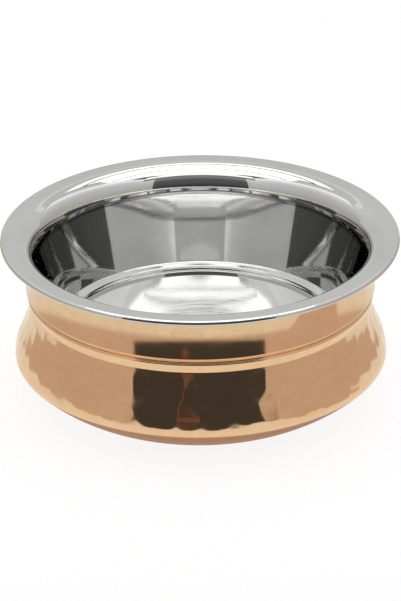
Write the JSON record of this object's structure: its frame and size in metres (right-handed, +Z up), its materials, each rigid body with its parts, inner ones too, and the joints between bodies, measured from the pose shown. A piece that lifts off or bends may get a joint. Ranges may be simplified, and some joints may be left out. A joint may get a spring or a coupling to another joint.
{
  "type": "double-walled handi serving bowl",
  "caption": "Round double-walled handi: a flared steel bowl whose rolled rim grips a waisted copper shell with a groove, a wide belly and a flat base.",
  "frame": {"origin": "middle of the base, on the surface that the handi stands on", "axes": "+Z up along the axis that both sheets are turned round"},
  "size_m": [0.16, 0.16, 0.067],
  "materials": {
    "steel": "polished, with fine turning lines",
    "copper": "polished copper, hammered round the belly"
  },
  "bodies": {
    "root": {"inner_bowl": "steel", "outer_shell": "copper"}
  },
  "joints": []
}
